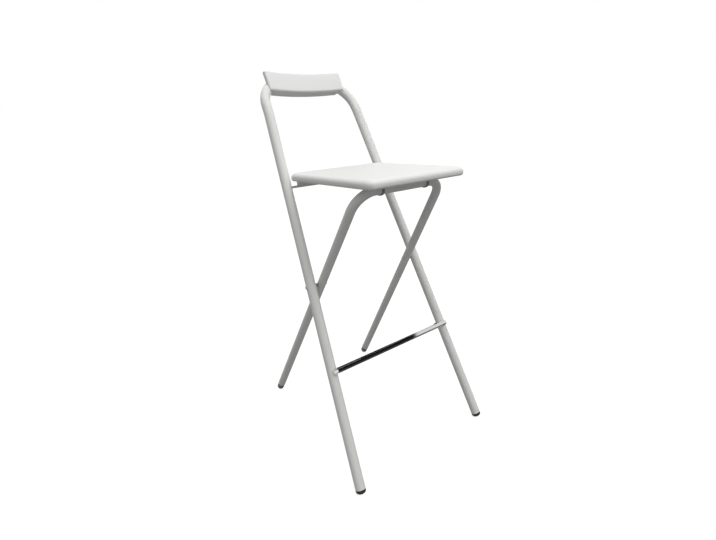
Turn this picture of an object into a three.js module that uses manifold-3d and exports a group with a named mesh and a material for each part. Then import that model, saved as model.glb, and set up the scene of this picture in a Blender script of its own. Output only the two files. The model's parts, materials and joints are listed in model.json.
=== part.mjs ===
// A folding bar stool: two bent tubes that cross and pivot, a moulded seat on the rear
// frame's bar, a moulded backrest and a footrest. Millimetres, +Z up, -Y to the front.

import * as THREE from "three";
import { mergeVertices } from "three/addons/utils/BufferGeometryUtils.js";
import Module from "manifold-3d";

const wasm = await Module();
wasm.setup();

const degree = Math.PI / 180;

// Stance
const pivotHeight = 448; // pivot axis above the floor
const frontLean = 29.85 * degree; // front frame from the vertical, top to the rear
const rearLean = 27.2 * degree; // rear frame from the vertical, top to the front
const frontSplay = 4.54 * degree; // front tubes spread towards the floor
const rearSplay = 3.12 * degree; // rear tubes spread towards the floor

// Tubes
const frontTube = 25.4; // diameter
const rearTube = 22; // diameter
const tubeWall = 1.5;
const frontBend = 82; // radius of the bends' centre line
const rearBend = 52;
const backReach = 555; // pivot to the backrest bar, along the front frame
const barReach = 281.8; // pivot to the seat bar, along the rear frame
const rodReach = 257.6; // pivot to the cross rod, along the front frame
const backBow = 25; // the backrest bar's middle lies this far back
const bowHalfLength = 174; // the bow would reach the frame's plane here
const bowStart = 105; // the tubes start to lean back this far below the bar
const bowFull = 25; // and follow the bow from here up

// Fits
const fitGap = 0.3; // between pieces that touch or pass through
const overrun = 5; // a cut runs past its face
const weldLength = 0.001; // vertices closer than this are one
const pivotGap = 8.3; // between the tubes at the pivot
const barPlay = 0.45; // seat bar to the seat's underside

// Pivot
const rivetShank = 5; // diameter
const rivetHead = 11; // diameter
const rivetHeadHeight = 1.6;
const spacerDiameter = 8;

// Seat
const seatWidth = 296;
const seatToTube = 31.7; // seat's side to a front tube's centre, at the pivot
const seatPastRod = 6.56; // cross rod to the seat's rear edge
const seatOverhang = 62.5; // seat bar to the seat's front edge
const seatThickness = 20.5;
const seatCrown = 3;
const seatCorner = 18; // radius in plan
const seatTopRound = 13; // how far in the top edge is rounded
const seatTopRoundHeight = 12;
const seatBottomRound = 6;
const seatSkin = 4; // left above the pockets
const seatRim = 17; // pockets' distance from the outline
const seatRib = 4;
const pocketColumns = 4;
const pocketRows = 4;
const barPadHalf = 28; // solid strip over the seat bar, each way
const rearPadLength = 22; // solid strip in front of the cross rod

// Saddles under the seat's rear end
const saddleHeight = 12.4; // cross rod to the seat's underside
const saddleLength = 56; // across the stool
const saddleInset = 22; // from the seat's side
const saddleFront = 11; // in front of the rod's centre
const saddleBack = 3; // thickness of the lip behind the rod
const saddleGrip = 1.3; // how deep the rod lies in the saddle
const saddleLip = 2; // lip below the rod's centre
const rodDiameter = 6;

// Seat clips
const clipInset = 78; // seat's side to a clip's middle
const clipWidth = 6.5;
const clipWall = 2;
const clipFlange = 10;
const clipScrewShank = 3; // diameter
const clipScrewHead = 6; // diameter
const clipScrewHeadHeight = 1.8;
const clipScrewGrip = 11; // length in the seat

// Backrest
const backrestInset = 17; // line of the front tubes to the backrest's end, at the bar
const backrestHeight = 54;
const backrestFlare = 3.5; // each end reaches this much further out at the top than below
const backrestRise = -6.5; // its middle above the bar's centre
const backrestFront = 18.5; // front face from the bar's centre line
const backrestRear = 13.2; // rear face from the bar's centre line
const backrestRound = 5; // radius along the top and bottom edges
const backrestEndFront = 3.5; // how far the ends' front edges are rounded
const backrestEndLength = 5; // length of the rounded ends
const backrestEndRise = 0.6; // how much lower the ends are
const backrestEndRound = 1.5; // radius along the ends' top and bottom edges
const backrestEndRear = 19.5; // how far the rear face is cut back at the ends
const backrestEndCut = 16; // length of that cut
const backScrewSpacing = 90;
const backScrewShank = 4; // diameter
const backScrewHead = 9; // diameter
const backScrewHeadHeight = 2.2;
const backScrewGrip = 3.6; // length in the front wall

// Footrest
const footrestHeight = 260.3; // height of its notches above the floor
const footrestBar = 14; // diameter
const footrestSink = 5.2; // how deep the tubes lie in the bar's notches
const footrestPast = 4.4; // past the tube's centre
const footrestEdge = 1.5; // radius round the end faces
const footScrewShank = 5; // diameter
const footScrewHead = 10; // diameter
const footScrewHeadHeight = 3;
const footScrewGrip = 5.5; // length in the bar

// Leg buffers
const bufferRise = 1; // above the footrest's notches, along the tube
const bufferTurn = 30 * degree; // from the tube's inner side towards its rear
const bufferDiameter = 11;
const bufferHeight = 9;
const bufferStem = 4; // diameter
const bufferStemLength = 5;

// Front feet
const frontDome = 8; // height of the rounded end
const frontRim = 3.5; // straight part below the tube's end
const plugLength = 16;
const groundFlat = 0.8; // depth of the flat ground into each foot

// Rear feet
const tipDiameter = 20.5;
const tipDome = 9; // height of the rounded end
const tipRim = 17; // straight part below the tube's end

const roundShare = 0.95; // largest corner radius, for half a section's depth

// Smoothness
const tubeSides = 24;
const boreSides = 12;
const turnSides = 16;
const bendSteps = 8;
const bowSteps = 8;
const leanSteps = 3;
const cornerSteps = 5;
const edgeSteps = 4;
const crownSteps = 4;
const grooveSteps = 8;

const looks = {
  whitePaint: { color: 0xe9e9e6, roughness: 0.42, metalness: 0.0 },
  whitePlastic: { color: 0xeeefec, roughness: 0.5, metalness: 0.0 },
  chrome: { color: 0xd8d9da, roughness: 0.08, metalness: 1.0 },
  steel: { color: 0xa9abad, roughness: 0.35, metalness: 0.9 },
  blackRubber: { color: 0x1a1a1a, roughness: 0.75, metalness: 0.0 },
  greyRubber: { color: 0x5c5d5d, roughness: 0.7, metalness: 0.0 },
  darkPlastic: { color: 0x4a4b4b, roughness: 0.5, metalness: 0.0 },
};

const axisX = new THREE.Vector3(1, 0, 0);
const axisY = new THREE.Vector3(0, 1, 0);
const axisZ = new THREE.Vector3(0, 0, 1);

// A closed solid from a geometry, with shared vertices and no empty triangles.
function solid(geometry) {
  geometry.deleteAttribute("normal");
  geometry.deleteAttribute("uv");
  const merged = mergeVertices(geometry, weldLength);
  const corners = merged.index.array;
  const kept = [];
  for (let i = 0; i < corners.length; i += 3) {
    const [a, b, c] = [corners[i], corners[i + 1], corners[i + 2]];
    if (a !== b && b !== c && c !== a) kept.push(a, b, c);
  }
  const vertProperties = new Float32Array(merged.attributes.position.array);
  const triVerts = new Uint32Array(kept);
  return new wasm.Manifold(new wasm.Mesh({ numProp: 3, vertProperties, triVerts }));
}

function geometryOf(body) {
  const mesh = body.getMesh();
  const geometry = new THREE.BufferGeometry();
  geometry.setAttribute("position", new THREE.BufferAttribute(mesh.vertProperties, 3));
  geometry.setIndex(new THREE.BufferAttribute(mesh.triVerts, 1));
  geometry.computeVertexNormals();
  return geometry;
}

function cut(body, ...tools) {
  return tools.reduce((left, tool) => left.subtract(tool), body);
}

function piece(name, body, look) {
  const mesh = new THREE.Mesh(geometryOf(body), new THREE.MeshStandardMaterial(looks[look]));
  mesh.name = name;
  return mesh;
}

// A many-sided hole whose flats keep the given radius.
function boreCircle(radius) {
  return circle(radius / Math.cos(Math.PI / boreSides), boreSides);
}

function circle(radius, sides) {
  const points = [];
  for (let i = 0; i < sides; i++) {
    const angle = (i / sides) * 2 * Math.PI;
    points.push(new THREE.Vector2(radius * Math.cos(angle), radius * Math.sin(angle)));
  }
  return points;
}

// A path through given points, one step for each, with mitred tangents.
class PointPath extends THREE.Curve {
  constructor(points) {
    super();
    this.points = points;
  }
  getPoint(t, target = new THREE.Vector3()) {
    const last = this.points.length - 1;
    const i = Math.min(Math.floor(t * last), last - 1);
    return target.lerpVectors(this.points[i], this.points[i + 1], t * last - i);
  }
  getTangent(t, target = new THREE.Vector3()) {
    const last = this.points.length - 1;
    const i = Math.round(t * last);
    const before = this.points[Math.max(i, 1)].clone().sub(this.points[Math.max(i - 1, 0)]);
    const after = this.points[Math.min(i + 1, last)].clone();
    after.sub(this.points[Math.min(i, last - 1)]);
    return target.addVectors(before.normalize(), after.normalize()).normalize();
  }
  getPointAt(u, target) {
    return this.getPoint(u, target);
  }
  getTangentAt(u, target) {
    return this.getTangent(u, target);
  }
}

function sweep(points, outline, bore) {
  const shape = new THREE.Shape(outline);
  if (bore) shape.holes.push(new THREE.Path(bore));
  const path = new PointPath(points);
  const steps = points.length - 1;
  return new THREE.ExtrudeGeometry(shape, { steps, extrudePath: path, bevelEnabled: false });
}

// A profile of [radius, height] pairs turned about +Z.
function turned(profile, sides = turnSides) {
  const points = profile.map(([radius, height]) => new THREE.Vector2(radius, height));
  return new THREE.LatheGeometry(points, sides).rotateX(Math.PI / 2);
}

// Moves a geometry made about +Z to a point, with +Z along a direction.
function aimed(geometry, origin, direction) {
  const turn = new THREE.Quaternion().setFromUnitVectors(axisZ, direction);
  return geometry.applyQuaternion(turn).translate(origin.x, origin.y, origin.z);
}

function pin(radius, start, end, sides = turnSides) {
  const along = end.clone().sub(start);
  const length = along.length();
  const profile = [
    [0, 0],
    [radius, 0],
    [radius, length],
    [0, length],
  ];
  return solid(aimed(turned(profile, sides), start, along.normalize()));
}

// A quarter dome, from its rim to its crown.
function dome(radius, height, base, steps = edgeSteps) {
  const points = [];
  for (let i = 0; i <= steps; i++) {
    const angle = ((i / steps) * Math.PI) / 2;
    points.push([i === steps ? 0 : radius * Math.cos(angle), base + height * Math.sin(angle)]);
  }
  return points;
}

// A screw along +Z: its head ends at zero and its shank runs on.
function screw({ shank, head, headHeight, length }) {
  const crown = dome(head / 2, -headHeight, 0).reverse();
  return turned([...crown, [shank / 2, 0], [shank / 2, length], [0, length]]);
}

// A closed skin over rings of equal count.
function loft(rings) {
  const count = rings[0].length;
  const positions = rings.flat().flatMap((point) => [point.x, point.y, point.z]);
  const index = [];
  for (let r = 0; r < rings.length - 1; r++) {
    for (let i = 0; i < count; i++) {
      const j = (i + 1) % count;
      const [a, b, c, d] = [r * count + i, r * count + j, (r + 1) * count + j, (r + 1) * count + i];
      index.push(a, b, c, a, c, d);
    }
  }
  for (const [ring, flip] of [
    [0, true],
    [rings.length - 1, false],
  ]) {
    const centre = new THREE.Vector3();
    for (const point of rings[ring]) centre.addScaledVector(point, 1 / count);
    const middle = positions.length / 3;
    positions.push(centre.x, centre.y, centre.z);
    for (let i = 0; i < count; i++) {
      const [a, b] = [ring * count + i, ring * count + ((i + 1) % count)];
      index.push(...(flip ? [middle, b, a] : [middle, a, b]));
    }
  }
  const geometry = new THREE.BufferGeometry();
  geometry.setAttribute("position", new THREE.Float32BufferAttribute(positions, 3));
  geometry.setIndex(index);
  return geometry;
}

// A rectangle with a radius at each corner, counter-clockwise from the first quadrant.
function roundedRectangle(halfX, halfY, radii) {
  const points = [];
  const signs = [
    [1, 1],
    [-1, 1],
    [-1, -1],
    [1, -1],
  ];
  signs.forEach(([signX, signY], corner) => {
    const radius = radii[corner];
    for (let i = 0; i <= cornerSteps; i++) {
      const angle = ((corner + i / cornerSteps) * Math.PI) / 2;
      const x = signX * (halfX - radius) + radius * Math.cos(angle);
      const y = signY * (halfY - radius) + radius * Math.sin(angle);
      points.push(new THREE.Vector2(x, y));
    }
  });
  return points;
}

function block(lowX, highX, lowY, highY, lowZ, highZ) {
  const geometry = new THREE.BoxGeometry(highX - lowX, highY - lowY, highZ - lowZ);
  geometry.translate((lowX + highX) / 2, (lowY + highY) / 2, (lowZ + highZ) / 2);
  return solid(geometry);
}

// An outline of [y, z] points, extruded across the stool.
function extrudedAcross(outline, lowX, highX) {
  const shape = new THREE.Shape(outline.map(([y, z]) => new THREE.Vector2(y, z)));
  const geometry = new THREE.ExtrudeGeometry(shape, { depth: highX - lowX, bevelEnabled: false });
  geometry.applyMatrix4(new THREE.Matrix4().makeBasis(axisY, axisZ, axisX));
  return solid(geometry.translate(lowX, 0, 0));
}

// Half the width between a frame's tube centres, at a height along the frame.
const frontHalfWidth = seatWidth / 2 + seatToTube; // at the pivot
const frontHalfAt = (z) => frontHalfWidth - Math.tan(frontSplay) * z;
const frontSide = frontTube / 2 / Math.cos(frontSplay); // the tube's half width, level
const rearSide = rearTube / 2 / Math.cos(rearSplay);
const rearHalfWidth = frontHalfWidth - frontSide - pivotGap - rearSide;
const rearHalfAt = (z) => rearHalfWidth - Math.tan(rearSplay) * z;

// How far the backrest's bar lies behind the front frame's plane, and how that changes with x.
const bowAt = (x) => backBow * (1 - (x / bowHalfLength) ** 2);
const bowSlopeAt = (x) => (-2 * backBow * x) / bowHalfLength ** 2;

// The share of the bow at a height along the front frame.
function bowShareAt(z) {
  return THREE.MathUtils.smoothstep(z, backReach - bowStart, backReach - bowFull);
}

// The centre line of a bent frame, from its left foot over its top to its right foot.
function hoop({ halfAt, splay, top, bend, low, bowed }) {
  const bendZ = top - bend;
  const bendX = halfAt(bendZ + bend * Math.sin(splay)) - bend * Math.cos(splay);
  const right = [[halfAt(low), low]];
  for (let i = 0; bowed && i <= leanSteps; i++) {
    const z = top - bowStart + (i / (leanSteps + 1)) * (bowStart - bend + bend * Math.sin(splay));
    right.push([halfAt(z), z]);
  }
  for (let i = 0; i <= bendSteps; i++) {
    const angle = splay + (i / bendSteps) * (Math.PI / 2 - splay);
    right.push([bendX + bend * Math.cos(angle), bendZ + bend * Math.sin(angle)]);
  }
  const bar = [];
  const barSteps = bowed ? bowSteps : 1;
  for (let i = 1; i < barSteps; i++) bar.push([bendX * (1 - (2 * i) / barSteps), top]);
  const left = right.map(([x, z]) => [-x, z]);
  const line = [...left, ...bar.reverse(), ...right.reverse()];
  const back = ([x, z]) => (bowed ? bowAt(x) * bowShareAt(z) : 0);
  return line.map((point) => new THREE.Vector3(point[0], back(point), point[1]));
}

// How far below its centre a rounded foot reaches, on a leg at this angle to the vertical.
function footReach(radius, height, tilt) {
  return Math.hypot(radius * Math.sin(tilt), height * Math.cos(tilt));
}

// Where a rounded foot's centre lies: its height along the frame below the pivot.
function footCentre(radius, height, lean, splay) {
  const tilt = Math.acos(Math.cos(lean) * Math.cos(splay));
  const drop = pivotHeight - footReach(radius, height, tilt) + groundFlat;
  return -drop / Math.cos(lean);
}

const frontFootZ = footCentre(frontTube / 2, frontDome, frontLean, frontSplay);
const frontEndZ = frontFootZ + (frontRim + fitGap) * Math.cos(frontSplay);
const rearFootZ = footCentre(tipDiameter / 2, tipDome, rearLean, rearSplay);
const rearEndZ = rearFootZ + (tipRim + fitGap) * Math.cos(rearSplay);
const frontBore = frontTube / 2 - tubeWall; // radius
const rearBore = rearTube / 2 - tubeWall;

const stool = new THREE.Group();
const pivot = new THREE.Group();
const frontFrame = new THREE.Group();
const rearFrame = new THREE.Group();
const seatFrame = new THREE.Group();
pivot.position.z = pivotHeight;
frontFrame.rotation.x = -frontLean;
rearFrame.rotation.x = rearLean;
stool.add(pivot);
pivot.add(frontFrame, rearFrame, seatFrame);

const sides = [
  ["left", -1],
  ["right", 1],
];

// Footrest: a round bar across the front of the tubes, notched to fit them and screwed on
// from behind.
const footrestZ = -(pivotHeight - footrestHeight) / Math.cos(frontLean);
const footrestY = -(frontTube / 2 + fitGap + footrestBar / 2 - footrestSink);
const footrestX = frontHalfAt(footrestZ);

function footrestBody() {
  const half = footrestX + footrestPast;
  const right = [];
  for (let i = 0; i <= edgeSteps; i++) {
    const angle = ((i / edgeSteps) * Math.PI) / 2;
    const radius = footrestBar / 2 - footrestEdge * (1 - Math.cos(angle));
    right.push([radius, half - footrestEdge * (1 - Math.sin(angle))]);
  }
  const left = right.map(([radius, x]) => [radius, -x]).reverse();
  const profile = [[0, -half], ...left, ...right, [0, half]];
  const centre = new THREE.Vector3(0, footrestY, footrestZ);
  return solid(aimed(turned(profile, tubeSides), centre, axisX));
}

const footNotches = sides.map(([, sign]) => {
  const at = (z) => new THREE.Vector3(sign * frontHalfAt(z), 0, z);
  const radius = (frontTube / 2 + fitGap) / Math.cos(Math.PI / tubeSides);
  return pin(radius, at(footrestZ - footrestBar), at(footrestZ + footrestBar), tubeSides);
});

const footScrewForm = {
  shank: footScrewShank,
  head: footScrewHead,
  headHeight: footScrewHeadHeight,
  length: frontTube + 2 * fitGap + fitGap + footScrewGrip,
};
const footScrews = sides.map(([side, sign]) => {
  const origin = new THREE.Vector3(sign * footrestX, frontTube / 2 + fitGap, footrestZ);
  const tip = origin.clone().addScaledVector(axisY, -(footScrewForm.length + fitGap));
  const hole = pin(footScrewShank / 2 + fitGap, origin, tip);
  return { side, origin, hole };
});
const footHoles = footScrews.map(({ hole }) => hole);
const footrest = cut(footrestBody(), ...footNotches, ...footHoles);
frontFrame.add(piece("footrest_bar", footrest, "chrome"));
for (const { side, origin } of footScrews) {
  const form = aimed(screw(footScrewForm), origin, axisY.clone().negate());
  frontFrame.add(piece(`footrest_screw_${side}`, solid(form), "steel"));
}

// Buffers on the inner rear side of the front tubes, just above the footrest.
const bufferZ = footrestZ + bufferRise;
const bufferHoles = [];
for (const [side, sign] of sides) {
  const inward = new THREE.Vector3(-Math.cos(frontSplay), 0, -Math.sin(frontSplay));
  inward.x *= sign;
  inward.multiplyScalar(Math.cos(bufferTurn)).addScaledVector(axisY, Math.sin(bufferTurn));
  const centre = new THREE.Vector3(sign * frontHalfAt(bufferZ), 0, bufferZ);
  const face = centre.clone().addScaledVector(inward, frontTube / 2 + fitGap);
  const profile = [
    [0, -bufferStemLength],
    [bufferStem / 2, -bufferStemLength],
    [bufferStem / 2, 0],
    [bufferDiameter / 2, 0],
    ...dome(bufferDiameter / 2, bufferHeight * 0.7, bufferHeight * 0.3),
  ];
  const form = aimed(turned(profile), face, inward);
  frontFrame.add(piece(`leg_buffer_${side}`, solid(form), "blackRubber"));
  bufferHoles.push(pin(bufferStem / 2 + fitGap, centre, face));
}

// Cross rod: its ends lie inside the front tubes.
const rodX = frontHalfAt(rodReach);
const rodEnd = rodX + frontBore / 2;
const rodPoint = (x) => new THREE.Vector3(x, 0, rodReach);
const rodHoles = sides.map(([, sign]) =>
  pin(
    rodDiameter / 2 + fitGap,
    rodPoint(sign * (rodX - frontTube / 2 - overrun)),
    rodPoint(sign * rodX),
  ),
);
const rodBody = pin(rodDiameter / 2, rodPoint(-rodEnd), rodPoint(rodEnd));
frontFrame.add(piece("seat_support_rod", rodBody, "whitePaint"));

// Pivot rivets run from inside the rear tube to outside the front tube.
const frontSlant = Math.tan(frontSplay) / 2; // the tubes pass them at a slant
const rearSlant = Math.tan(rearSplay) / 2;
const rivetInner = rearHalfWidth - rearSide - fitGap - rearSlant * rivetHead;
const rivetOuter = frontHalfWidth + frontSide + fitGap + frontSlant * rivetHead;
const spacerInner = rearHalfWidth + rearSide + fitGap + rearSlant * spacerDiameter;
const spacerOuter = frontHalfWidth - frontSide - fitGap - frontSlant * spacerDiameter;
const pivotHoles = [];
for (const [side, sign] of sides) {
  const outward = axisX.clone().multiplyScalar(sign);
  const centre = new THREE.Vector3();
  const rivet = [
    ...dome(rivetHead / 2, -rivetHeadHeight, rivetInner).reverse(),
    [rivetShank / 2, rivetInner],
    [rivetShank / 2, rivetOuter],
    ...dome(rivetHead / 2, rivetHeadHeight, rivetOuter),
  ];
  const spacer = [
    [rivetShank / 2 + fitGap, spacerInner],
    [spacerDiameter / 2, spacerInner],
    [spacerDiameter / 2, spacerOuter],
    [rivetShank / 2 + fitGap, spacerOuter],
    [rivetShank / 2 + fitGap, spacerInner],
  ];
  const rivetForm = aimed(turned(rivet), centre, outward);
  const spacerForm = aimed(turned(spacer), centre, outward);
  frontFrame.add(piece(`pivot_rivet_${side}`, solid(rivetForm), "whitePaint"));
  frontFrame.add(piece(`pivot_spacer_${side}`, solid(spacerForm), "darkPlastic"));
  const end = outward.clone().multiplyScalar(rivetOuter + overrun);
  pivotHoles.push(pin(rivetShank / 2 + fitGap, centre, end));
}

// Backrest: a bowed moulding, open behind, around the front frame's top bar.
const backrestMiddle = backReach + backrestRise;
const backrestHalf = frontHalfAt(backReach) - backrestInset;

function backrestBody() {
  const end = backrestHalf;
  const right = [[end - backrestEndCut, 0, 0]];
  for (let i = 0; i <= edgeSteps; i++) {
    const angle = ((i / edgeSteps) * Math.PI) / 2;
    const inset = backrestEndLength * (1 - Math.sin(angle));
    right.push([end - inset, 1 - Math.cos(angle), 1 - inset / backrestEndCut]);
  }
  const middle = [];
  for (let i = 1; i < bowSteps; i++) {
    middle.push([(end - backrestEndCut) * ((2 * i) / bowSteps - 1), 0, 0]);
  }
  const left = right.map(([x, ...shares]) => [-x, ...shares]).reverse();
  const rings = [...left, ...middle, ...right].map(([x, round, cutBack]) => {
    const front = -backrestFront + backrestEndFront * round;
    const rear = backrestRear - backrestEndRear * cutBack;
    const halfHeight = backrestHeight / 2 - backrestEndRise * round;
    const corner = backrestRound + (backrestEndRound - backrestRound) * round;
    const radii = Array(4).fill(Math.min(corner, ((rear - front) / 2) * roundShare));
    return roundedRectangle((rear - front) / 2, halfHeight, radii).map((point) => {
      const wide = 1 + (backrestFlare / end) * (point.y / backrestHeight);
      const y = (front + rear) / 2 + bowAt(x) + point.x;
      return new THREE.Vector3(x * wide, y, backrestMiddle + point.y);
    });
  });
  return solid(loft(rings));
}

// Room for the bar: half round in front and open to the rear.
function backrestSlot() {
  const radius = frontTube / 2 + fitGap;
  const rear = backrestRear + overrun;
  const outline = [];
  for (let i = 0; i <= tubeSides / 2; i++) {
    const angle = (i / (tubeSides / 2) - 1 / 2) * Math.PI;
    outline.push([radius * Math.cos(angle), radius * Math.sin(angle)]);
  }
  outline.push([-rear, radius], [-rear, -radius]);
  const low = backReach - bowStart;
  const line = { halfAt: frontHalfAt, splay: frontSplay, top: backReach, bend: frontBend };
  const points = hoop({ ...line, low: low - overrun, bowed: true });
  const path = new PointPath(points);
  const front = axisY.clone().negate();
  const rings = points.map((point, i) => {
    const along = path.getTangent(i / (points.length - 1));
    const ahead = front.clone().addScaledVector(along, -front.dot(along)).normalize();
    const side = new THREE.Vector3().crossVectors(along, ahead);
    return outline.map(([x, y]) => point.clone().addScaledVector(ahead, x).addScaledVector(side, y));
  });
  return solid(loft(rings));
}

const backScrewForm = {
  shank: backScrewShank,
  head: backScrewHead,
  headHeight: backScrewHeadHeight,
  length: frontTube + 2 * fitGap + fitGap + backScrewGrip,
};
const backScrews = sides.map(([side, sign]) => {
  const x = (sign * backScrewSpacing) / 2;
  const forward = new THREE.Vector3(bowSlopeAt(x), -1, 0).normalize();
  const centre = new THREE.Vector3(x, bowAt(x), backReach);
  const origin = centre.clone().addScaledVector(forward, -(frontTube / 2 + fitGap));
  const tip = origin.clone().addScaledVector(forward, backScrewForm.length + fitGap);
  const hole = pin(backScrewShank / 2 + fitGap, origin, tip);
  return { side, forward, origin, hole };
});
const backHoles = backScrews.map(({ hole }) => hole);
const backrest = cut(backrestBody(), backrestSlot(), ...backHoles);
frontFrame.add(piece("backrest_panel", backrest, "whitePlastic"));
for (const { side, forward, origin } of backScrews) {
  const form = aimed(screw(backScrewForm), origin, forward);
  frontFrame.add(piece(`backrest_screw_${side}`, solid(form), "steel"));
}

// Front frame tube
const frontLine = hoop({
  halfAt: frontHalfAt,
  splay: frontSplay,
  top: backReach,
  bend: frontBend,
  low: frontEndZ,
  bowed: true,
});
const frontTubeBody = solid(
  sweep(frontLine, circle(frontTube / 2, tubeSides), boreCircle(frontBore)),
);
const frontHoles = [...footHoles, ...bufferHoles, ...rodHoles, ...pivotHoles, ...backHoles];
frontFrame.add(piece("front_leg_frame", cut(frontTubeBody, ...frontHoles), "whitePaint"));

// Rear frame tube
const rearLine = hoop({
  halfAt: rearHalfAt,
  splay: rearSplay,
  top: barReach,
  bend: rearBend,
  low: rearEndZ,
  bowed: false,
});
const rearTubeBody = solid(
  sweep(rearLine, circle(rearTube / 2, tubeSides), boreCircle(rearBore)),
);
rearFrame.add(piece("rear_leg_frame", cut(rearTubeBody, ...pivotHoles), "whitePaint"));

// Feet: each rounded end is ground flat where it stands.
function foot(name, profile, look, frame, halfAt, splay, sign, centreZ) {
  const mesh = piece(name, solid(turned(profile, tubeSides)), look);
  mesh.position.set(sign * halfAt(centreZ), 0, centreZ);
  mesh.rotation.y = -sign * splay;
  frame.add(mesh);
  stool.updateMatrixWorld(true);
  const width = 2 * (frontTube + rearTube);
  const floor = new THREE.BoxGeometry(width, width, width);
  const place = new THREE.Vector3().setFromMatrixPosition(mesh.matrixWorld);
  floor.translate(place.x, place.y, -width / 2);
  floor.applyMatrix4(mesh.matrixWorld.clone().invert());
  mesh.geometry = geometryOf(cut(solid(turned(profile, tubeSides)), solid(floor)));
}

const frontPlug = frontBore - fitGap;
const frontFootProfile = [
  ...dome(frontTube / 2, -frontDome, 0).reverse(),
  [frontTube / 2, frontRim],
  [frontPlug, frontRim],
  [frontPlug, frontRim + plugLength],
  [0, frontRim + plugLength],
];
const rearPlug = rearBore - fitGap;
const rearFootProfile = [
  ...dome(tipDiameter / 2, -tipDome, 0).reverse(),
  [tipDiameter / 2, tipRim],
  [rearPlug, tipRim],
  [rearPlug, tipRim + plugLength],
  [0, tipRim + plugLength],
];
for (const [side, sign] of sides) {
  const frontName = `front_foot_${side}`;
  const rearName = `rear_foot_${side}`;
  foot(
    frontName,
    frontFootProfile,
    "blackRubber",
    frontFrame,
    frontHalfAt,
    frontSplay,
    sign,
    frontFootZ,
  );
  foot(
    rearName,
    rearFootProfile,
    "greyRubber",
    rearFrame,
    rearHalfAt,
    rearSplay,
    sign,
    rearFootZ,
  );
}

// The seat turns about the rear frame's bar and rests on the cross rod, which sets its tilt.
const bar = new THREE.Vector2(-Math.sin(rearLean), Math.cos(rearLean)).multiplyScalar(barReach);
const rod = new THREE.Vector2(Math.sin(frontLean), Math.cos(frontLean)).multiplyScalar(rodReach);
const underside = rearTube / 2 + barPlay; // above the bar's centre
const rodDrop = rodDiameter / 2 + saddleHeight - underside; // rod's centre below the bar's
const barToRod = bar.distanceTo(rod);
const seatSlope = Math.atan2(bar.y - rod.y, rod.x - bar.x) - Math.asin(rodDrop / barToRod);
const rodY = Math.sqrt(barToRod ** 2 - rodDrop ** 2);
seatFrame.position.set(0, bar.x, bar.y);
seatFrame.rotation.x = -seatSlope;

const seatFront = -seatOverhang;
const seatRear = rodY + seatPastRod;
const seatLength = seatRear - seatFront;
const seatHalf = seatWidth / 2;

// The seat's skin: rings from the underside's edge, over the rounded sides, to the crown.
function seatBody() {
  const halfLength = seatLength / 2;
  const rings = [];
  const ring = (halfX, halfY, radius, z) => {
    const outline = roundedRectangle(halfX, halfY, Array(4).fill(radius));
    const centreY = (seatFront + seatRear) / 2;
    rings.push(outline.map((point) => new THREE.Vector3(point.x, centreY + point.y, z)));
  };
  const edge = (inset, z) => {
    ring(seatHalf - inset, halfLength - inset, seatCorner - inset, underside + z);
  };
  for (let i = 0; i <= edgeSteps; i++) {
    const angle = ((i / edgeSteps) * Math.PI) / 2;
    edge(seatBottomRound * (1 - Math.sin(angle)), seatBottomRound * (1 - Math.cos(angle)));
  }
  for (let i = 0; i <= edgeSteps; i++) {
    const angle = ((i / edgeSteps) * Math.PI) / 2;
    const z = seatThickness - seatTopRoundHeight * (1 - Math.sin(angle));
    edge(seatTopRound * (1 - Math.cos(angle)), z);
  }
  for (let i = 1; i < crownSteps; i++) {
    const share = i / crownSteps;
    const left = 1 - share;
    const rise = seatCrown * Math.sin((share * Math.PI) / 2) ** 2;
    ring(
      (seatHalf - seatTopRound) * left,
      (halfLength - seatTopRound) * left,
      (seatCorner - seatTopRound) * left,
      underside + seatThickness + rise,
    );
  }
  return solid(loft(rings));
}

// Pockets between ribs under the seat, in the given span.
function seatPockets(lowY, highY, rows) {
  const tools = [];
  const lowX = -(seatHalf - seatRim);
  const pitchX = (2 * (seatHalf - seatRim) + seatRib) / pocketColumns;
  const pitchY = (highY - lowY + seatRib) / rows;
  const roof = underside + seatThickness - seatSkin;
  for (let column = 0; column < pocketColumns; column++) {
    for (let row = 0; row < rows; row++) {
      const x = lowX + column * pitchX;
      const y = lowY + row * pitchY;
      tools.push(block(x, x + pitchX - seatRib, y, y + pitchY - seatRib, 0, roof));
    }
  }
  return tools;
}

// A saddle rests on the cross rod, with a lip behind it that keeps the legs from spreading.
function saddle(sign) {
  const groove = rodDiameter / 2 + fitGap;
  const low = -rodDrop + rodDiameter / 2 - saddleGrip;
  const start = Math.asin((low + rodDrop) / groove);
  const outline = [
    [rodY - saddleFront, underside + overrun],
    [rodY - saddleFront, underside - fitGap],
    [rodY - groove * Math.cos(start) - saddleGrip, low],
  ];
  for (let i = 0; i <= grooveSteps; i++) {
    const angle = Math.PI - start + (i / grooveSteps) * (start - Math.PI);
    outline.push([rodY + groove * Math.cos(angle), -rodDrop + groove * Math.sin(angle)]);
  }
  outline.push(
    [rodY + groove, -rodDrop - saddleLip],
    [rodY + groove + saddleBack / 2, -rodDrop - saddleLip],
    [rodY + groove + saddleBack, -rodDrop],
    [rodY + groove + saddleBack, underside + overrun],
  );
  const outer = sign * (seatHalf - saddleInset);
  const inner = sign * (seatHalf - saddleInset - saddleLength);
  return extrudedAcross(outline, Math.min(inner, outer), Math.max(inner, outer));
}

// Clips wrap the bar from below and are screwed to the seat on both sides of it.
const clipInner = rearTube / 2 + fitGap;
const clipOuter = clipInner + clipWall;
const clipTop = underside - fitGap;
const clipEnd = clipOuter + clipFlange;
const clipScrewY = clipOuter + clipFlange / 2;

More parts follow.
